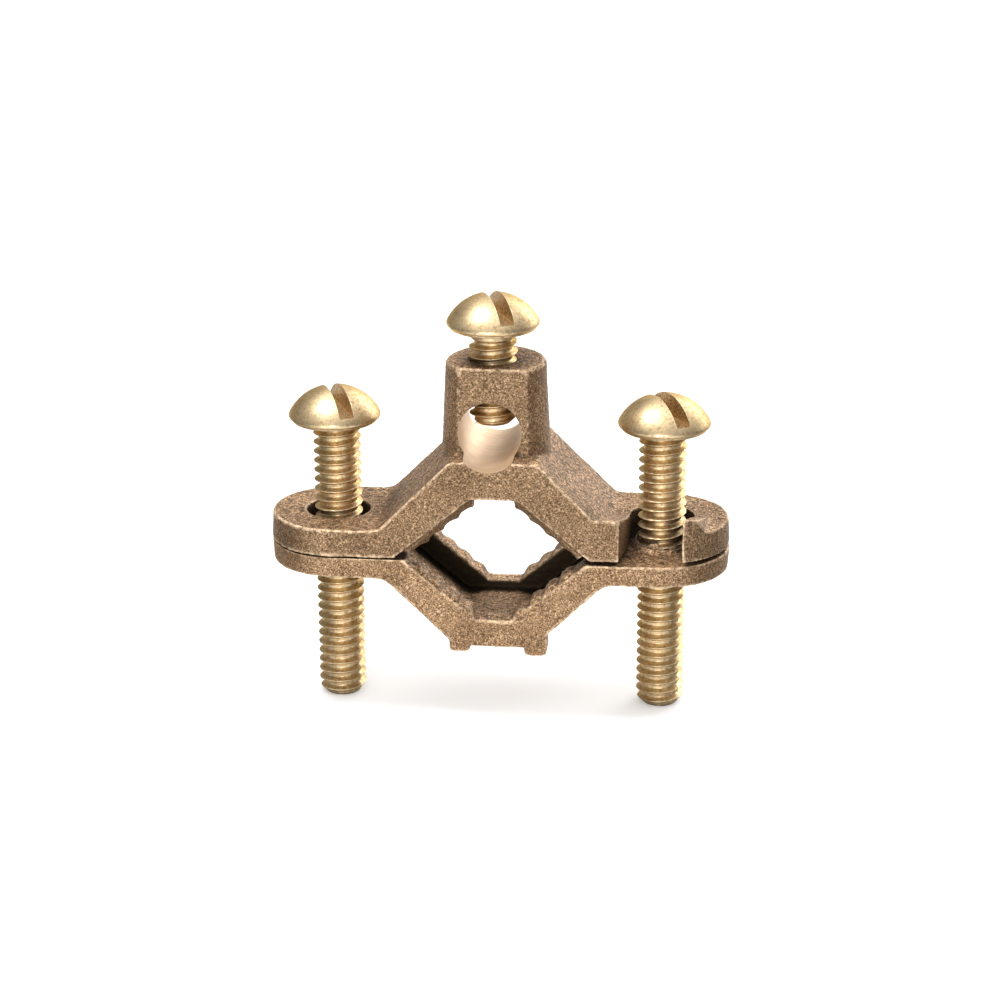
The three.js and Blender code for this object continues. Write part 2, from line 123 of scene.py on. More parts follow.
# Screws, 1/4-20 UNC
PITCH = 1.27 * MM
CREST = 3.11 * MM
ROOT = 2.45 * MM
VALLEY_SHARE = 0.32               # of the way from the middle of a valley to the crest
FLANK_SHARE = 0.6                 # of the same way, taken by the flank
FLANK_CURVE = 1.4
TIP_CHAMFER = 0.9 * MM
NECK_RADIUS = 2.85 * MM           # plain neck under the head
HEAD_RADIUS = 5.95 * MM
HEAD_HEIGHT = 4.45 * MM
HEAD_RIM = 0.85 * MM              # the dome starts at this height
HEAD_BASE = 5.6 * MM              # radius of the head's underside
DOME_START = 0.985                # share of the head's radius where the dome meets the rim
SLOT_WIDTH = 1.9 * MM
SLOT_DEPTH = 2.9 * MM
SLOT_LENGTH = 30 * MM             # of the cutter, which runs out of the head at both ends
TURN_SEGMENTS = 96
ROWS_PER_PITCH = 20
HEAD_ROWS = 28

# What differs from screw to screw
SLOT_TURN_DEGREES = {"left_clamp_screw": 26, "right_clamp_screw": 32, "wire_screw": 25}
SLOT_SHIFT = {"left_clamp_screw": -0.25 * MM, "right_clamp_screw": -0.15 * MM, "wire_screw": 0.1 * MM}
HEAD_SHIFT = {"left_clamp_screw": -0.25 * MM, "right_clamp_screw": 0.12 * MM, "wire_screw": 0}
NECK_HEIGHT = {"left_clamp_screw": 0.5 * MM, "right_clamp_screw": 0.5 * MM, "wire_screw": 1.2 * MM}
THREAD_TURN = {"left_clamp_screw": 0, "right_clamp_screw": 0, "wire_screw": 0.43}

# Colours
# edges: wear and a painted highlight in one colour
WORN_AND_HIGHLIT_BRONZE = (0.80, 0.60, 0.40)
DARK_HOLLOW_BRONZE = (0.05, 0.03, 0.015)
DENT_BRONZE = (0.11, 0.065, 0.035)
# painted shade in the channel of each pipe seat
CHANNEL_SHADE_BROWN = (0.030, 0.019, 0.009)
# painted highlights on the thread crests and along edges of the brass
BRASS_HIGHLIGHT = (0.92, 0.78, 0.52)

# Camera and floor
VIEW_TURN = math.radians(5.9)     # the camera stands this far to the right of the front
VIEW_HEIGHT = math.radians(20)    # and looks down by this much
VIEW_ROLL = math.radians(0.3)
VIEW_DISTANCE = 370 * MM
AIM_RIGHT = 0.05 * MM             # of the middle of the clamp
AIM_HEIGHT = 5.3 * MM             # above the underside of the upper jaw
LENS = 102.4
SENSOR = 36
FLOOR_HALF = 3                    # half the floor's side, in metres
FLOOR_GAP = 0.02 * MM             # the screws' tips hang this far above the floor

# Brightness of the studio, where 1 is white
BACKDROP_LIGHT = 1.6
ROOM_LIGHT = 0.6
CEILING_LIGHT = 1.7
SIDE_LIGHT = 0.35
FLOOR_GLOW = 0.25                 # keeps the floor pale around the soft shadow


# ---------------------------------------------------------------- mesh helpers

def new_object(name, mesh):
    """Object with this mesh, linked to the scene."""
    obj = bpy.data.objects.new(name, mesh)
    bpy.context.scene.collection.objects.link(obj)
    return obj


def mesh_from(name, vertices, faces):
    """Mesh of the given points and of faces that index them."""
    mesh = bpy.data.meshes.new(name)
    mesh.from_pydata([tuple(v) for v in vertices], [], faces)
    mesh.update()
    return mesh


def apply_modifiers(obj):
    """Replace obj's mesh by what its modifiers make of it."""
    evaluated = obj.evaluated_get(bpy.context.evaluated_depsgraph_get())
    mesh = bpy.data.meshes.new_from_object(evaluated)
    obj.modifiers.clear()
    obj.data = mesh


def vertex_array(mesh):
    """Positions of the vertices, one row each."""
    flat = np.empty(len(mesh.vertices) * 3)
    mesh.vertices.foreach_get("co", flat)
    return flat.reshape(-1, 3)


def normal_array(mesh):
    """Normals of the vertices, one row each."""
    flat = np.empty(len(mesh.vertices) * 3, np.float32)
    mesh.vertex_normals.foreach_get("vector", flat)
    return flat.reshape(-1, 3)


def set_vertices(mesh, points):
    """Move the vertices to new positions."""
    mesh.vertices.foreach_set("co", points.ravel())
    mesh.update()


def store_values(mesh, name, values):
    """Keep one number for each vertex, where a material can read it."""
    marks = mesh.attributes.new(name, "FLOAT", "POINT")
    marks.data.foreach_set("value", values.astype(np.float32))


def shade_smooth(mesh):
    """Smooth shading that keeps sharp edges."""
    mesh.shade_smooth()
    mesh.set_sharp_from_angle(angle=SHARP_ANGLE)


def smooth_step(value, start, end):
    """0 up to start and 1 from end on, with a soft rise between them."""
    t = np.clip((value - start) / (end - start), 0, 1)
    return t * t * (3 - 2 * t)


def standing_out(mesh):
    """How far each vertex stands out from its surroundings: above zero on edges, below it in hollows."""
    points = vertex_array(mesh)
    ends = np.empty(len(mesh.edges) * 2, np.int32)
    mesh.edges.foreach_get("vertices", ends)
    a, b = ends.reshape(-1, 2).T
    neighbours = np.bincount(ends, minlength=len(points))
    level = points.T
    for _ in range(EDGE_ROUNDS):
        level = np.array([
            np.bincount(a, row[b], len(points)) + np.bincount(b, row[a], len(points)) for row in level
        ]) / neighbours
    return ((points - level.T) * normal_array(mesh)).sum(axis=1)


def ring_around(centre, axis, radius, count):
    """Points of a circle about an axis."""
    side = axis.orthogonal().normalized()
    other = axis.cross(side)
    points = []
    for i in range(count):
        angle = 2 * math.pi * i / count
        points.append(centre + radius * (math.cos(angle) * side + math.sin(angle) * other))
    return points


def tube_mesh(name, start_ring, end_ring):
    """Closed solid between two rings of points, with fans at its ends."""
    count = len(start_ring)
    middle_start = sum(start_ring, Vector()) / count
    middle_end = sum(end_ring, Vector()) / count
    vertices = [*start_ring, *end_ring, middle_start, middle_end]
    faces = []
    for i in range(count):
        j = (i + 1) % count
        faces.append((i, j, count + j, count + i))
        faces.append((2 * count, j, i))
        faces.append((2 * count + 1, count + i, count + j))
    return mesh_from(name, vertices, faces)


def cut_away(obj, cutter_mesh, material):
    """Cut a closed mesh out of obj. The faces of the cut carry the given material."""
    cutter_mesh.materials.append(material)
    cutter = new_object("cutter", cutter_mesh)
    cut = obj.modifiers.new("cut", "BOOLEAN")
    cut.operation = "DIFFERENCE"
    cut.solver = "EXACT"
    cut.material_mode = "TRANSFER"
    cut.object = cutter
    apply_modifiers(obj)
    bpy.data.objects.remove(cutter)


# ---------------------------------------------------------------- castings

def plug_for(tree, centre, axis, radius, both_ends):
    """Filling of a hole, flush with the surface around it, so that the hole can be drilled again later."""
    ring = ring_around(centre, axis, radius + PLUG_MARGIN, HOLE_SEGMENTS)
    front = [tree.ray_cast(p + FAR * axis, -axis)[0] for p in ring]
    back = [tree.ray_cast(p - FAR * axis, axis)[0] for p in ring] if both_ends else ring
    return tube_mesh("plug", back, front)


def softened_casting(name, node, plugs):
    """The CAD solid and its plugs as one skin, with the rounded edges of a sand casting."""
    solid = bmesh.new()
    solid.from_mesh(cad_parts[node].data)
    for plug in plugs:
        solid.from_mesh(plug)
    mesh = bpy.data.meshes.new(name)
    solid.to_mesh(mesh)
    solid.free()
    casting = new_object(name, mesh)
    remesh = casting.modifiers.new("skin", "REMESH")
    remesh.mode = "VOXEL"
    remesh.voxel_size = VOXEL
    smooth = casting.modifiers.new("soften", "SMOOTH")
    smooth.factor = 0.5
    smooth.iterations = EDGE_SOFTENING
    apply_modifiers(casting)
    return casting


def roughen(casting, seed):
    """Push the skin in and out: broad waviness, sand grain and a few pits."""
    points = vertex_array(casting.data)
    normals = normal_array(casting.data)
    offset = Vector((seed, 2 * seed, 3 * seed))
    push = np.empty(len(points))
    for i, point in enumerate(points):
        place = Vector(point)
        wave = noise.noise(place / WAVE_SIZE + offset)
        grain = noise.noise(place / GRAIN_SIZE + offset)
        pit = max(0.0, noise.noise(place / PIT_SIZE - offset) - PIT_LEVEL)
        push[i] = WAVE_PUSH * wave + GRAIN_PUSH * grain - PIT_PUSH * pit
    set_vertices(casting.data, points + normals * push[:, None])


def close_left_gap(casting, side):
    """Bring the face under the left ear close to the other jaw; `side` is 1 above the split, -1 below."""
    points = vertex_array(casting.data)
    split = split_height()
    height = side * (points[:, 2] - split)
    closed = 0.5 * LEFT_GAP
    share = np.clip((height - closed) / SEAM_REACH, 0, 1)
    near = (points[:, 0] < 0) & (share < 1)
    height = np.where(near, closed + SEAM_REACH * share ** SEAM_CURVE, height)
    points[:, 2] = split + side * height
    set_vertices(casting.data, points)


def mark_edges(casting):
    """Store where the casting has edges and hollows, in millimetres, for its material."""
    store_values(casting.data, "edge", standing_out(casting.data) / MM)


def mark_channel_shade(casting):
    """Store how much painted shade darkens the channel of the pipe seat, most of all along its back wall.
    """
    points = vertex_array(casting.data)
    x = abs(points[:, 0])
    z = abs(points[:, 2] - split_height())
    below_slope = (x - SEAT_MOUTH) * math.sin(SEAT_SLOPE) + z * math.cos(SEAT_SLOPE)
    depth = np.maximum(below_slope, z - SEAT_HEIGHT)
    wall = cad_bounds[1][1] - RIB_WIDTH
    inside = (depth < CHANNEL_DEPTH) & (abs(points[:, 1]) < wall + VOXEL)
    edge = wall - CHANNEL_SHADE_EDGE - CHANNEL_SHADE_REACH * smooth_step(x, SEAT_FLAT, 2 * SEAT_FLAT)
    near_wall = smooth_step(points[:, 1] - edge, -CHANNEL_SHADE_FADE, 0)
    share = CHANNEL_SHADE_ELSEWHERE + (1 - CHANNEL_SHADE_ELSEWHERE) * near_wall
    below_teeth = smooth_step(depth, 0.1 * MM, 0.5 * MM)
    store_values(casting.data, "painted_channel_shade", inside * below_teeth * share)


def drill(casting, start, end, start_radius, end_radius, material):
    """Cut a round hole whose wall carries the machined material."""
    axis = (end - start).normalized()
    start_ring = ring_around(start, axis, start_radius, HOLE_SEGMENTS)
    end_ring = ring_around(end, axis, end_radius, HOLE_SEGMENTS)
    cut_away(casting, tube_mesh("drill", start_ring, end_ring), material)


def screw_axis(node):
    """Where the axis of a screw stands along X."""
    low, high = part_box(node)
    return (low.x + high.x) / 2


def split_height():
    """Height of the plane where the jaws meet, halfway across the gap between them."""
    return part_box("upper_jaw")[0].z - HALF_CAD_GAP


def search_tree(node):
    """Surface of a CAD solid, ready for ray casts."""
    return BVHTree.FromObject(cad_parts[node], bpy.context.evaluated_depsgraph_get())


def cast_jaw(name, node, plugs, seed, side, bronze):
    """Undrilled casting with its rough skin, closed left gap and marks for the material."""
    jaw = softened_casting(name, node, plugs)
    roughen(jaw, seed)
    close_left_gap(jaw, side)
    mark_edges(jaw)
    mark_channel_shade(jaw)
    jaw.data.materials.append(bronze)
    return jaw


def finish_jaw(jaw, node):
    """Put a drilled casting in the place of its CAD solid."""
    shade_smooth(jaw.data)
    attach(jaw, node)
    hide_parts(node)


def make_lower_jaw(bronze, machined):
    """Lower jaw with its two tapped holes and the burr around the right one."""
    low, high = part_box("lower_jaw")
    tree = search_tree("lower_jaw")
    centres = [Vector((screw_axis(node), 0, high.z)) for node in CLAMP_SCREWS]
    plugs = [plug_for(tree, centre, UP, TAPPED_RADIUS, True) for centre in centres]
    jaw = cast_jaw("lower_jaw_casting", "lower_jaw", plugs, 1.7, -1, bronze)
    reach = DRILL_REACH * UP
    for centre in centres:
        drill(jaw, centre - reach, centre + reach, TAPPED_RADIUS, TAPPED_RADIUS, machined)
    finish_jaw(jaw, "lower_jaw")
    make_burr(centres[1], split_height() - HALF_CAD_GAP, bronze)


def make_burr(centre, face, bronze):
    """Ragged metal thrown up around the right tapped hole when it was cut."""
    vertices = []
    for i in range(BURR_SEGMENTS):
        angle = 2 * math.pi * i / BURR_SEGMENTS
        around = Vector((math.cos(angle), math.sin(angle), 0))
        ragged = 0.75 + 0.5 * noise.noise(2.2 * around) + 0.35 * noise.noise(9 * around)
        height = BURR_HEIGHT * ragged
        lean = BURR_LEAN * noise.noise(5 * around)
        section = [
            (0.5 * MM, -BURR_ROOT),
            (0.28 * MM + lean, 0.5 * height),
            (0.22 * MM + lean, height),
            (0.12 * MM + lean, 0.97 * height),
            (0.02 * MM, -BURR_ROOT),
        ]
        for out, rise in section:
            foot = Vector((centre.x, centre.y, face + rise))
            vertices.append(foot + (TAPPED_RADIUS + out) * around)
    across = len(section)
    faces = []
    for i in range(BURR_SEGMENTS):
        this = i * across
        following = (i + 1) % BURR_SEGMENTS * across
        for k in range(across):
            after = (k + 1) % across
            faces.append((this + k, following + k, following + after, this + after))
    burr = new_object("tapping_burr", mesh_from("tapping_burr", vertices, faces))
    # wear and a painted highlight along the burr's rim
    store_values(burr.data, "edge", np.tile([0, 0, BURR_RIM_WEAR_AND_HIGHLIGHT, BURR_RIM_WEAR_AND_HIGHLIGHT, 0], BURR_SEGMENTS))
    burr.data.materials.append(bronze)
    shade_smooth(burr.data)
    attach(burr, "lower_jaw")


def make_upper_jaw(bronze, machined):
    """Upper jaw with its wire hole and the tapped hole that runs down into it."""
    tree = search_tree("upper_jaw")
    wire_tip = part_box("wire_screw")[0].z
    centre = Vector((screw_axis("wire_screw"), 0, wire_tip - WIRE_HOLE_DROP))
    plugs = [
        plug_for(tree, centre, ALONG, WIRE_HOLE_RADIUS, True),
        plug_for(tree, centre, UP, TAPPED_RADIUS, False),
    ]
    jaw = cast_jaw("upper_jaw_casting", "upper_jaw", plugs, 4.1, 1, bronze)
    drill(jaw, centre, centre + DRILL_REACH * UP, TAPPED_RADIUS, TAPPED_RADIUS, machined)
    front = -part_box("upper_jaw")[0].y
    front_radius = WIRE_HOLE_RADIUS + WIRE_HOLE_TAPER * (DRILL_REACH - front)
    back_radius = WIRE_HOLE_RADIUS - WIRE_HOLE_TAPER * (DRILL_REACH + front)
    reach = DRILL_REACH * ALONG
    drill(jaw, centre - reach, centre + reach, front_radius, back_radius, machined)
    finish_jaw(jaw, "upper_jaw")


# ---------------------------------------------------------------- screws

def turn_angles():
    """Angles of the points of one ring around a screw."""
    return 2 * math.pi * np.arange(TURN_SEGMENTS) / TURN_SEGMENTS


def thread_radius(height, angle, turn):
    """Radius of a right-hand thread with wide valleys, where height is measured from the tip."""
    phase = (height / PITCH - angle / (2 * math.pi) - turn) % 1
    ridge = abs(2 * phase - 1)
    flank = np.clip((ridge - VALLEY_SHARE) / FLANK_SHARE, 0, 1)
    return ROOT + (CREST - ROOT) * flank ** FLANK_CURVE


def shank_rows(length, turn, neck):
    """Rings of the shank from tip to head as (radius for each angle, height)."""
    angles = turn_angles()
    count = round(length / PITCH * ROWS_PER_PITCH)
    rows = []
    for i in range(count + 1):
        height = length * i / count
        below_neck = smooth_step(length - height, neck, neck + 0.3 * PITCH)
        radius = NECK_RADIUS + (thread_radius(height, angles, turn) - NECK_RADIUS) * below_neck
        tip_limit = CREST - TIP_CHAMFER + height
        rows.append((np.minimum(radius, tip_limit), height - length))
    return rows


def head_rows():
    """Rings of the round head from its underside to the top, as (radius, height)."""
    cap = HEAD_HEIGHT - HEAD_RIM
    cap_radius = (HEAD_RADIUS ** 2 + cap ** 2) / (2 * cap)
    sweep = math.asin(DOME_START * HEAD_RADIUS / cap_radius)
    rows = [
        (NECK_RADIUS, 0.0),
        (0.8 * HEAD_BASE, 0.0),
        (HEAD_BASE - 0.084 * MM, 0.02 * MM),
        (HEAD_BASE, 0.12 * MM),
        (HEAD_BASE + 0.06 * MM, 0.3 * MM),
        (HEAD_RADIUS - 0.08 * MM, 0.42 * MM),
        (HEAD_RADIUS, 0.55 * MM),
        (HEAD_RADIUS, 0.8 * MM),
    ]
    for i in range(HEAD_ROWS):
        angle = sweep * (1 - i / HEAD_ROWS)
        rows.append((cap_radius * math.sin(angle), HEAD_HEIGHT - cap_radius * (1 - math.cos(angle))))
    return rows


def screw_mesh(name, node, axis_x, head_base, length):
    """Closed solid of a screw: rings of points from its tip to the top of its head."""
    angles = turn_angles()
    shank = shank_rows(length, THREAD_TURN[node], NECK_HEIGHT[node])
    head = [(np.full(TURN_SEGMENTS, radius), height) for radius, height in head_rows()]
    vertices = []
    for rows, x in ((shank, axis_x), (head, axis_x + HEAD_SHIFT[node])):
        for radius, height in rows:
            z = np.full(TURN_SEGMENTS, head_base + height)
            vertices.append(np.column_stack((x + radius * np.cos(angles), radius * np.sin(angles), z)))
    tip = (axis_x, 0, head_base - length)
    top = (axis_x + HEAD_SHIFT[node], 0, head_base + HEAD_HEIGHT)
    return mesh_from(name, np.vstack((*vertices, tip, top)), screw_faces(len(vertices)))


def screw_faces(ring_count):
    """Faces between neighbouring rings, and fans to the tip and the top, which follow the rings."""
    last_ring = (ring_count - 1) * TURN_SEGMENTS
    tip = ring_count * TURN_SEGMENTS
    top = tip + 1
    faces = []
    for i in range(TURN_SEGMENTS):
        j = (i + 1) % TURN_SEGMENTS
        for ring in range(0, last_ring, TURN_SEGMENTS):
            above = ring + TURN_SEGMENTS
            faces.append((ring + i, ring + j, above + j, above + i))
        faces.append((tip, j, i))
        faces.append((top, last_ring + i, last_ring + j))
    return faces


def cut_driver_slot(screw, axis_x, top, turn, material):
    """Straight slot across the head, open at both ends."""
    mesh = bpy.data.meshes.new("slot_cutter")
    box = bmesh.new()
    bmesh.ops.create_cube(box, size=1)
    place = Matrix.Translation((axis_x, 0, top)) @ Matrix.Rotation(turn, 4, "Z")
    box.transform(place @ Matrix.Diagonal((SLOT_WIDTH, SLOT_LENGTH, 2 * SLOT_DEPTH, 1)))
    box.to_mesh(mesh)
    box.free()
    cut_away(screw, mesh, material)


def make_screw(node, brass, slot_brass):
    """A screw with its thread, round head and driver slot, in the place of its CAD solid."""
    low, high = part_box(node)
    head_base = high.z - HEAD_HEIGHT
    axis_x = screw_axis(node)
    name = node + "_turned"
    screw = new_object(name, screw_mesh(name, node, axis_x, head_base, head_base - low.z))
    screw.data.materials.append(brass)
    turn = math.radians(SLOT_TURN_DEGREES[node])
    cut_driver_slot(screw, axis_x + SLOT_SHIFT[node], high.z, turn, slot_brass)
    shade_smooth(screw.data)
    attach(screw, node)
    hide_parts(node)


# ---------------------------------------------------------------- materials

class Nodes:
    """Short way to add and link shader nodes."""

    def __init__(self, name):
        self.material = bpy.data.materials.new(name)
        self.material.use_nodes = True
        self.tree = self.material.node_tree
        self.shader = self.tree.nodes["Principled BSDF"]
        self.place = self.add("ShaderNodeTexCoord").outputs["Object"]

    def add(self, kind, **settings):
        """New node; each setting goes to the socket of that name, or else to the property."""
        node = self.tree.nodes.new(kind)
        for key, value in settings.items():
            if key in node.inputs:
                node.inputs[key].default_value = value
            else:
                setattr(node, key, value)
        return node

    def link(self, output, socket):
        self.tree.links.new(output, socket)

    def noise(self, size, detail=2.0, roughness=0.5, place=None):
        """Noise whose features are about `size` metres across."""
        node = self.add("ShaderNodeTexNoise", Scale=1 / size, Detail=detail, Roughness=roughness)
        self.link(place or self.place, node.inputs["Vector"])
        return node.outputs["Fac"]

    def ramp(self, value, stops):
        """Colour ramp from (position, colour) pairs; a single number stands for a grey."""
        node = self.add("ShaderNodeValToRGB")
        elements = node.color_ramp.elements
        while len(elements) < len(stops):
            elements.new(0.5)
        for element, (position, colour) in zip(elements, stops):
            element.position = position
            element.color = (*colour, 1) if isinstance(colour, tuple) else (colour, colour, colour, 1)
        self.link(value, node.inputs["Fac"])
        return node.outputs["Color"]

    def mix(self, factor, a, b, blend="MIX"):
        """Blend of two colours, each a socket, a number or a tuple."""
        node = self.add("ShaderNodeMix", data_type="RGBA", blend_type=blend)
        for value, socket in ((factor, node.inputs[0]), (a, node.inputs[6]), (b, node.inputs[7])):
            if isinstance(value, bpy.types.NodeSocket):
                self.link(value, socket)
            elif isinstance(value, tuple):
                socket.default_value = (*value, 1)
            else:
                socket.default_value = value
        return node.outputs[2]

    def times(self, a, b):
        return self.mix(1.0, a, b, "MULTIPLY")

    def bump(self, height, depth, normal=None):
        """Normal that shows a height of 1 as `depth` metres."""
        node = self.add("ShaderNodeBump", Strength=1.0, Distance=depth)
        self.link(height, node.inputs["Height"])
        if normal is not None:
            self.link(normal, node.inputs["Normal"])
        return node.outputs["Normal"]

    def maths(self, operation, a, b=0.0):
        """Result of an operation on sockets or numbers."""
        node = self.add("ShaderNodeMath", operation=operation)
        for value, socket in zip((a, b), node.inputs):
            if isinstance(value, bpy.types.NodeSocket):
                self.link(value, socket)
            else:
                socket.default_value = value
        return node.outputs[0]

    def facing_up(self):
        """1 on level faces, 0 on upright ones."""
        split = self.add("ShaderNodeSeparateXYZ")
        self.link(self.true_normal(), split.inputs[0])
        return split.outputs["Z"]

    def true_normal(self):
        return self.add("ShaderNodeNewGeometry").outputs["Normal"]

    def stored(self, name):
        """Number that was stored for each vertex."""
        return self.add("ShaderNodeAttribute", attribute_name=name).outputs["Fac"]

    def open_to_light(self, reach):
        """1 on open faces, less in recesses that are about `reach` deep."""
        return self.add("ShaderNodeAmbientOcclusion", samples=6, Distance=reach).outputs["AO"]

    def edge_highlight_mask(self, radius):
        """1 along edges and corners, where the softened normal leaves the true one."""
        turn = self.add("ShaderNodeVectorMath", operation="DOT_PRODUCT")
        self.link(self.soft_edges(radius), turn.inputs[0])
        self.link(self.true_normal(), turn.inputs[1])
        return self.ramp(turn.outputs["Value"], [(0.80, 1.0), (0.98, 0.0)])

    def soft_edges(self, radius):
        """Normal that turns edges into rounds of this radius."""
        return self.add("ShaderNodeBevel", samples=4, Radius=radius).outputs["Normal"]

    def edges(self, low, high):
        """Black on flat or hollow places, white on outer edges."""
        geometry = self.add("ShaderNodeNewGeometry")
        return self.ramp(geometry.outputs["Pointiness"], [(low, 0.0), (high, 1.0)])


def sand_cast_colour(n, grain, lumps, brightness):
    """Speckled bronze with broad stains and painted light that makes level faces lighter. Faces that look
    up are lumpier and have dark dents.
    """
    colour = n.ramp(grain, [
        (0.31, (0.075, 0.042, 0.020)),
        (0.45, (0.200, 0.123, 0.065)),
        (0.56, (0.345, 0.221, 0.125)),
        (0.69, (0.690, 0.490, 0.305)),
    ])
    stain = n.ramp(n.noise(5 * MM, detail=2), [
        (0.3, (0.78 * brightness, 0.75 * brightness, 0.72 * brightness)),
        (0.7, (1.08 * brightness, 1.08 * brightness, 1.08 * brightness)),
    ])
    colour = n.times(colour, stain)
    # painted light: faces that look straight up are made lighter, as if lit from above
    level = n.ramp(n.facing_up(), [(0.82, 1.0), (0.95, 1.24)])
    colour = n.times(colour, level)
    upward = n.ramp(n.facing_up(), [(0.3, 0.0), (0.5, 1.0)])
    faint = n.ramp(lumps, [(0.35, 0.78), (0.65, 1.15)])
    strong = n.ramp(lumps, [(0.36, 0.5), (0.64, 1.65)])
    colour = n.times(colour, n.mix(upward, faint, strong))
    dents = n.ramp(n.noise(1.1 * MM, detail=3, roughness=0.6), [(0.60, 0.0), (0.65, 0.9)])
    return n.mix(n.times(upward, dents), colour, DENT_BRONZE)


def wear_and_painted_shade(n, colour):
    """Wear and painted highlights on the edges, darker hollows, painted shade in the recesses and painted
    shade along the channel's back wall.
    """
    edge = n.stored("edge")
    # wear and painted highlights along the edges
    patches = n.ramp(n.noise(0.5 * MM), [(0.35, 0.1), (0.6, 1.0)])
    wear_and_highlight = n.times(n.ramp(edge, [(0.05, 0.0), (0.13, 1.0)]), patches)
    colour = n.mix(wear_and_highlight, colour, WORN_AND_HIGHLIT_BRONZE)
    # hollows are made darker
    hollow = n.ramp(n.maths("MULTIPLY", edge, -1.0), [(0.05, 0.0), (0.15, 0.7)])
    colour = n.mix(hollow, colour, DARK_HOLLOW_BRONZE)
    shade = n.ramp(n.open_to_light(5.5 * MM), [(0.15, 0.3), (0.75, 1.0)])
    # painted shade along the back wall of the channel
    return n.mix(n.stored("painted_channel_shade"), n.times(colour, shade), CHANNEL_SHADE_BROWN)


def cast_bronze(name, brightness):
    """Matte sand-cast bronze."""
    n = Nodes(name)
    grain = n.noise(0.19 * MM, detail=3, roughness=0.65)
    lumps = n.noise(0.45 * MM, detail=2)
    colour = wear_and_painted_shade(n, sand_cast_colour(n, grain, lumps, brightness))
    n.link(colour, n.shader.inputs["Base Color"])
    n.shader.inputs["Metallic"].default_value = 0.8
    n.link(n.ramp(grain, [(0.3, 0.7), (0.7, 0.5)]), n.shader.inputs["Roughness"])
    fine = n.bump(grain, 0.05 * MM)
    n.link(n.bump(lumps, 0.12 * MM, fine), n.shader.inputs["Normal"])
    return n.material


def machined_bronze():
    """Freshly drilled metal, with faint rings left by the drill around the hole."""
    n = Nodes("machined_bronze")
    stretch = n.add("ShaderNodeVectorMath", operation="MULTIPLY")
    n.link(n.place, stretch.inputs[0])
    stretch.inputs[1].default_value = (0.1, 1, 0.1)
    rings = n.noise(0.5 * MM, detail=2, place=stretch.outputs[0])
    colour = n.ramp(rings, [(0.3, (0.70, 0.51, 0.335)), (0.7, (0.76, 0.57, 0.385))])
    blotches = n.ramp(n.noise(1.5 * MM, detail=3), [(0.3, 0.88), (0.7, 1.0)])
    n.link(n.times(colour, blotches), n.shader.inputs["Base Color"])
    n.shader.inputs["Metallic"].default_value = 0.85
    n.shader.inputs["Roughness"].default_value = 0.5
    n.link(n.bump(rings, 0.004 * MM, n.soft_edges(0.08 * MM)), n.shader.inputs["Normal"])
    return n.material


def yellow_brass():
    """Satin brass with tarnish, painted highlights on the thread crests and edges, and painted shade in
    the thread valleys.
    """
    n = Nodes("yellow_brass")
    tarnish = n.noise(0.4 * MM, detail=4, roughness=0.65)
    colour = n.ramp(tarnish, [
        (0.30, (0.31, 0.207, 0.105)),
        (0.44, (0.62, 0.455, 0.255)),
        (0.64, (0.76, 0.605, 0.375)),
    ])
    broad = n.ramp(n.noise(3 * MM, detail=2), [(0.35, 0.8), (0.65, 1.0)])
    colour = n.times(colour, broad)
    # painted highlights on the thread crests and along the edges
    colour = n.mix(n.edges(0.53, 0.62), colour, BRASS_HIGHLIGHT)
    colour = n.mix(n.edge_highlight_mask(0.12 * MM), colour, BRASS_HIGHLIGHT)
    shade = n.ramp(n.open_to_light(2 * MM), [(0.05, 0.35), (0.5, 1.0)])
    n.link(n.times(colour, shade), n.shader.inputs["Base Color"])
    n.shader.inputs["Metallic"].default_value = 1.0
    n.shader.inputs["Specular Tint"].default_value = (0.88, 0.69, 0.42, 1)
    n.link(n.ramp(tarnish, [(0.3, 0.48), (0.6, 0.35)]), n.shader.inputs["Roughness"])
    fine = n.bump(n.noise(0.12 * MM, detail=2), 0.006 * MM, n.soft_edges(0.07 * MM))
    n.link(n.bump(tarnish, 0.012 * MM, fine), n.shader.inputs["Normal"])
    return n.material


def slot_brass():
    """Sawn faces of the driver slot, a little darker than the head, with painted highlights along their
    edges.
    """
    n = Nodes("slot_brass")
    marks = n.noise(0.3 * MM, detail=3, roughness=0.6)
    colour = n.ramp(marks, [
        (0.32, (0.22, 0.145, 0.065)),
        (0.50, (0.58, 0.400, 0.200)),
        (0.66, (0.80, 0.600, 0.340)),
    ])
    # painted highlights along the slot's edges
    colour = n.mix(n.edge_highlight_mask(0.12 * MM), colour, (0.80, 0.64, 0.42))
    n.link(colour, n.shader.inputs["Base Color"])
    n.shader.inputs["Metallic"].default_value = 1.0
    n.shader.inputs["Roughness"].default_value = 0.45
    n.link(n.bump(marks, 0.03 * MM, n.soft_edges(0.07 * MM)), n.shader.inputs["Normal"])
    return n.material


# ---------------------------------------------------------------- studio

def view_axes():
    """Directions the camera looks in, to its right and up."""
    forward = Vector((
        -math.sin(VIEW_TURN) * math.cos(VIEW_HEIGHT),
        math.cos(VIEW_TURN) * math.cos(VIEW_HEIGHT),
        -math.sin(VIEW_HEIGHT),
    ))
    right = forward.cross(Vector((0, 0, 1))).normalized()
    up = right.cross(forward)
    turn = Matrix.Rotation(VIEW_ROLL, 3, forward)
    return forward, turn @ right, turn @ up


def make_camera(target):
    """Camera at its distance from the target."""
    forward, right, up = view_axes()
    data = bpy.data.cameras.new("camera")
    data.lens = LENS
    data.sensor_width = SENSOR
    data.clip_start = 10 * MM
    camera = bpy.data.objects.new("camera", data)
    bpy.context.scene.collection.objects.link(camera)
    rotation = Matrix((right, up, -forward)).transposed().to_4x4()
    camera.matrix_world = Matrix.Translation(target - VIEW_DISTANCE * forward) @ rotation
    bpy.context.scene.camera = camera


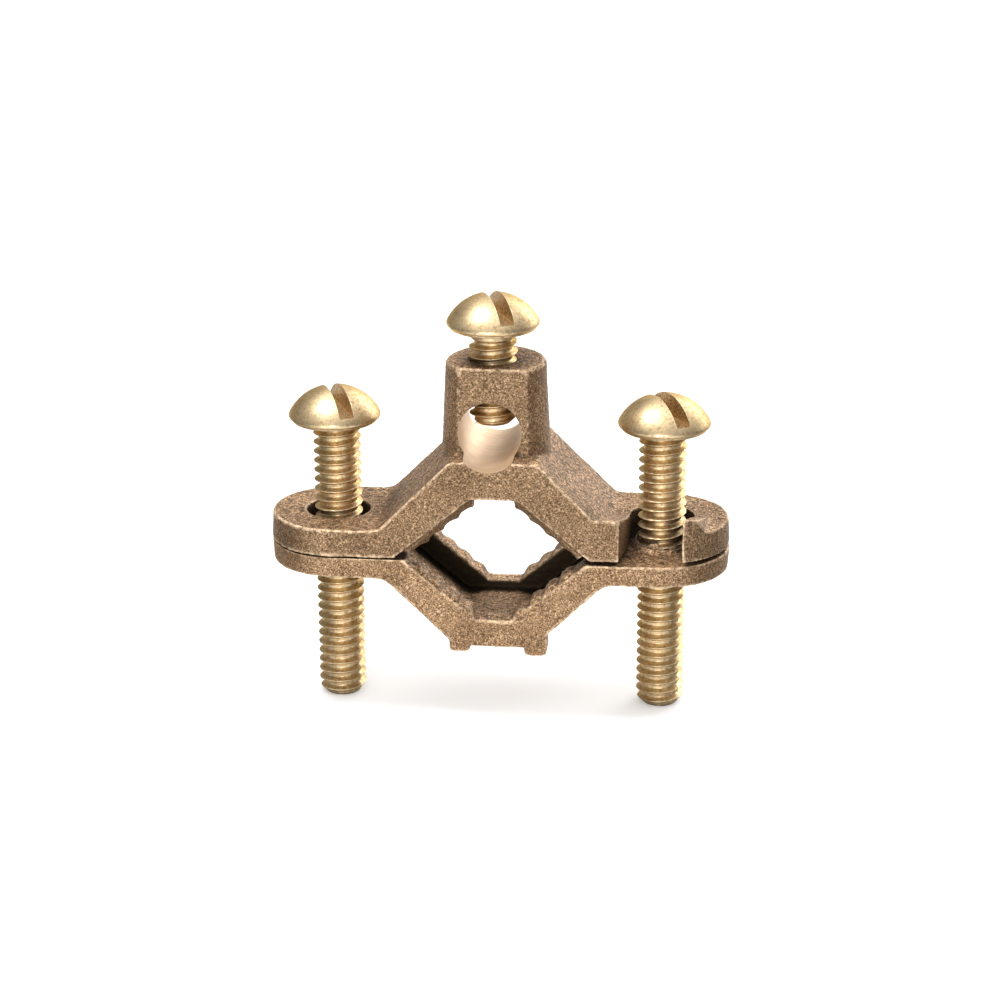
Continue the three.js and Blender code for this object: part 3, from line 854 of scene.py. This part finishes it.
def softbox(name, target, offset, width, height, power):
    """Rectangular light that faces the target from an offset. All lengths are in millimetres."""
    data = bpy.data.lights.new(name, "AREA")
    data.shape = "RECTANGLE"
    data.size = width * MM
    data.size_y = height * MM
    data.energy = power
    light = bpy.data.objects.new(name, data)
    bpy.context.scene.collection.objects.link(light)
    away = Vector(offset) * MM
    light.location = target + away
    light.rotation_euler = (-away).to_track_quat("-Z", "Y").to_euler()


def studio_world():
    """A white backdrop, dark sides and a lit room in front, as a product tent reflects in metal.

    The camera itself sees nothing darker than white around the floor.
    """
    world = bpy.data.worlds.new("studio")
    bpy.context.scene.world = world
    world.use_nodes = True
    tree = world.node_tree
    direction = tree.nodes.new("ShaderNodeTexCoord").outputs["Generated"]
    split = tree.nodes.new("ShaderNodeSeparateXYZ")
    tree.links.new(direction, split.inputs[0])

    def glow(axis, start, end, amount):
        """Light that rises to an amount as one coordinate of the direction goes from start to end."""
        ramp = tree.nodes.new("ShaderNodeMapRange")
        ramp.interpolation_type = "SMOOTHSTEP"
        tree.links.new(split.outputs[axis], ramp.inputs["Value"])
        for name, value in (("From Min", start), ("From Max", end), ("To Min", 0), ("To Max", amount)):
            ramp.inputs[name].default_value = value
        return ramp.outputs["Result"]

    def times(a, b):
        node = tree.nodes.new("ShaderNodeMath")
        node.operation = "MULTIPLY"
        tree.links.new(a, node.inputs[0])
        tree.links.new(b, node.inputs[1])
        return node.outputs[0]

    def larger(a, b):
        node = tree.nodes.new("ShaderNodeMath")
        node.operation = "MAXIMUM"
        tree.links.new(a, node.inputs[0])
        if isinstance(b, float):
            node.inputs[1].default_value = b
        else:
            tree.links.new(b, node.inputs[1])
        return node.outputs[0]

    backdrop = times(glow("Y", 0.05, 0.55, BACKDROP_LIGHT), glow("X", -0.7, 0.3, 1.0))
    room = glow("Y", -0.45, -0.9, ROOM_LIGHT)
    ceiling = glow("Z", 0.5, 0.95, CEILING_LIGHT)
    seen = tree.nodes.new("ShaderNodeLightPath").outputs["Is Camera Ray"]
    level = larger(larger(larger(backdrop, room), larger(ceiling, SIDE_LIGHT)), seen)
    tree.links.new(level, tree.nodes["Background"].inputs["Color"])


def make_floor():
    """Pale floor. In the metal it shows as a bright strip from front to back between darker sides."""
    n = Nodes("pale_floor")
    pale = n.ramp(n.noise(0.2, detail=2), [(0.3, 0.88), (0.7, 0.92)])
    split = n.add("ShaderNodeSeparateXYZ")
    n.link(n.place, split.inputs[0])
    across = n.maths("ABSOLUTE", split.outputs["X"])
    along = n.maths("MULTIPLY", n.maths("ABSOLUTE", split.outputs["Y"]), 1.3)
    mirrored = n.ramp(n.maths("SUBTRACT", across, along), [(0.0, 0.9), (0.04, 0.18)])
    seen = n.add("ShaderNodeLightPath").outputs["Is Camera Ray"]
    n.link(n.mix(seen, mirrored, pale), n.shader.inputs["Base Color"])
    n.shader.inputs["Emission Color"].default_value = (1, 1, 1, 1)
    n.link(n.maths("MULTIPLY", seen, FLOOR_GLOW), n.shader.inputs["Emission Strength"])
    n.shader.inputs["Roughness"].default_value = 0.8
    z = cad_bounds[0][2] - FLOOR_GAP
    corners = [(-FLOOR_HALF, -FLOOR_HALF, z), (FLOOR_HALF, -FLOOR_HALF, z)]
    corners += [(FLOOR_HALF, FLOOR_HALF, z), (-FLOOR_HALF, FLOOR_HALF, z)]
    floor = new_object("floor", mesh_from("floor", corners, [(0, 1, 2, 3)]))
    floor.data.materials.append(n.material)


def make_studio():
    """Camera, world, floor and three soft lights."""
    target = Vector((AIM_RIGHT, 0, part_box("upper_jaw")[0].z + AIM_HEIGHT))
    make_camera(target)
    studio_world()
    make_floor()
    softbox("overhead", target, offset=(-70, -20, 200), width=70, height=70, power=0.28)
    softbox("behind", target, offset=(220, 330, 180), width=250, height=250, power=0.5)
    softbox("front", target, offset=(-50, -500, 60), width=200, height=300, power=1.5)
    bpy.context.scene.view_settings.view_transform = "Standard"


# ---------------------------------------------------------------- the clamp

pale_bronze = cast_bronze("pale_bronze", 1.21)
brown_bronze = cast_bronze("brown_bronze", 0.96)
machined = machined_bronze()
brass = yellow_brass()
slot = slot_brass()
make_lower_jaw(pale_bronze, machined)
make_upper_jaw(brown_bronze, machined)
for screw_node in (*CLAMP_SCREWS, "wire_screw"):
    make_screw(screw_node, brass, slot)
make_studio()
